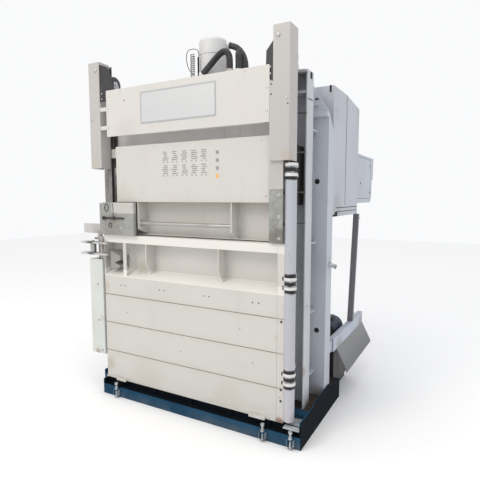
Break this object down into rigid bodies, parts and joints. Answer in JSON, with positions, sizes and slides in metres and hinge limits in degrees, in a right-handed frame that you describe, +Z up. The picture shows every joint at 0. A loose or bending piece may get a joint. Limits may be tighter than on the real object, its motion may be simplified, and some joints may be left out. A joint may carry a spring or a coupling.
{
  "type": "recycling baler",
  "caption": "Upright baling press with sliding feed door, hinged bale door, telescopic press cylinder and a rear loading head above a trolley bay.",
  "frame": {"origin": "centre of the base frame's underside, on the floor", "axes": "+Z up, +Y to the rear where the trolley docks, +X to the right seen from the bale door"},
  "size_m": [2.08, 2.148, 2.828],
  "materials": {
    "white_paint": "worn satin paint",
    "blue_paint": "satin paint, rusty at edges",
    "grey_paint": "satin paint",
    "black_paint": "satin paint",
    "dark_grey": "satin paint",
    "motor_blue": "cast housing, gloss paint",
    "zinc": "galvanised",
    "brushed": "brushed sheet",
    "bare_steel": "worn bare steel",
    "bolt_steel": "zinc plated",
    "chain_steel": "oiled steel",
    "cast": "raw casting",
    "chrome_rod": "hard chrome",
    "hose_rubber": "ribbed hose sleeve",
    "nylon": "natural",
    "red_plastic": "moulded"
  },
  "bodies": {
    "frame": {"base_frame": "blue_paint", "chain_arcs": "chain_steel", "clamp_bolts": "bolt_steel", "column_front_left": "white_paint", "column_front_right": "white_paint", "column_rear_left": "white_paint", "column_rear_right": "white_paint", "control_cabinet": "white_paint", "corner_plates": "black_paint", "crosshead": "white_paint", "cylinder_barrel": "white_paint", "deflectors": "brushed", "dock_rails": "white_paint", "floor_plate": "bare_steel", "head_rear": "white_paint", "head_roof": "white_paint", "head_side_left": "white_paint", "head_side_right": "white_paint", "header_panel": "white_paint", "hinge_lugs": "white_paint", "hinge_pins": "bolt_steel", "hose_front": "hose_rubber", "hose_middle": "hose_rubber", "hose_right": "hose_rubber", "latch_housing": "zinc", "lock_bearing": "white_paint", "lock_post": "white_paint", "plate_front_upper": "grey_paint", "post_left": "white_paint", "post_right": "white_paint", "power_pack": "black_paint", "pump_motor": "motor_blue", "rail_cover": "zinc", "rail_left": "zinc", "rail_right": "zinc", "sign_plate": "grey_paint", "struts": "dark_grey", "wall_left": "white_paint", "wall_rear": "white_paint", "wall_right": "white_paint"},
    "feed_door": {"feed_door": "white_paint", "guide_shoes": "nylon", "feed_door_bar": "bolt_steel", "chains_door": "chain_steel"},
    "counterweights": {"counterweights": "cast", "chains_weight": "chain_steel"},
    "pulleys": {"pulleys": "cast"},
    "bale_door": {"bale_door": "white_paint", "door_tube": "white_paint", "door_lock_lugs": "white_paint"},
    "lock_roller": {"door_lock_roller": "chain_steel"},
    "lock_shaft": {"lock_shaft": "grey_paint"},
    "feed_latch": {"feed_latch": "zinc"},
    "platen": {"platen": "bare_steel", "cylinder_rod": "chrome_rod"},
    "cylinder_sleeve": {"cylinder_sleeve": "chrome_rod"},
    "loading_rake": {"loading_rake": "blue_paint"},
    "ejector_flap": {"ejector_flap": "bare_steel"},
    "main_switch": {"main_switch": "black_paint"},
    "emergency_stop": {"emergency_stop": "red_plastic"}
  },
  "joints": [
    {"name": "feed_door_slide", "type": "slide", "parent": "frame", "child": "feed_door", "axis": [0, 0, 1], "range_m": [0, 0.62], "deforming": ["chains_door"]},
    {"name": "counterweight_slide", "type": "slide", "parent": "frame", "child": "counterweights", "axis": [0, 0, 1], "range_m": [-0.62, 0], "deforming": ["chains_weight"]},
    {"name": "pulley_turn", "type": "hinge", "parent": "frame", "child": "pulleys", "pos_m": [0.7, -0.23, 2.52], "axis": [1, 0, 0], "range_deg": [-600, 0]},
    {"name": "bale_door_hinge", "type": "hinge", "parent": "frame", "child": "bale_door", "pos_m": [0.756, -0.375, 0.98], "axis": [0, 0, 1], "range_deg": [0, 115]},
    {"name": "lock_roller_spin", "type": "hinge", "parent": "bale_door", "child": "lock_roller", "pos_m": [-0.985, -0.388, 1.2], "axis": [0, 0, 1], "continuous": true},
    {"name": "lock_turn", "type": "hinge", "parent": "frame", "child": "lock_shaft", "pos_m": [-0.95, -0.345, 1.2], "axis": [0, 0, 1], "range_deg": [0, 110]},
    {"name": "feed_latch_lift", "type": "hinge", "parent": "frame", "child": "feed_latch", "pos_m": [-0.7, -0.437, 1.45], "axis": [0, 1, 0], "range_deg": [0, 25]},
    {"name": "platen_press", "type": "slide", "parent": "frame", "child": "platen", "axis": [0, 0, -1], "range_m": [0, 1]},
    {"name": "sleeve_extend", "type": "slide", "parent": "frame", "child": "cylinder_sleeve", "axis": [0, 0, -1], "range_m": [0, 0.5]},
    {"name": "rake_swing", "type": "hinge", "parent": "frame", "child": "loading_rake", "pos_m": [0, 0.44, 1.99], "axis": [1, 0, 0], "range_deg": [-145, 0]},
    {"name": "ejector_tip", "type": "hinge", "parent": "frame", "child": "ejector_flap", "pos_m": [0, -0.212, 0.1575], "axis": [1, 0, 0], "range_deg": [0, 35]},
    {"name": "main_switch_turn", "type": "hinge", "parent": "frame", "child": "main_switch", "pos_m": [0.6, 1.65, 1.9], "axis": [0, 1, 0], "range_deg": [0, 90]},
    {"name": "emergency_stop_press", "type": "slide", "parent": "frame", "child": "emergency_stop", "axis": [0, -1, 0], "range_m": [0, 0.006], "stiffness_N_per_m": 800}
  ],
  "couplings": [
    {"joint": "counterweight_slide", "follows": "feed_door_slide", "ratio": -1},
    {"joint": "pulley_turn", "follows": "feed_door_slide", "rad_per_m": -16.667},
    {"joint": "sleeve_extend", "follows": "platen_press", "ratio": 0.5}
  ]
}
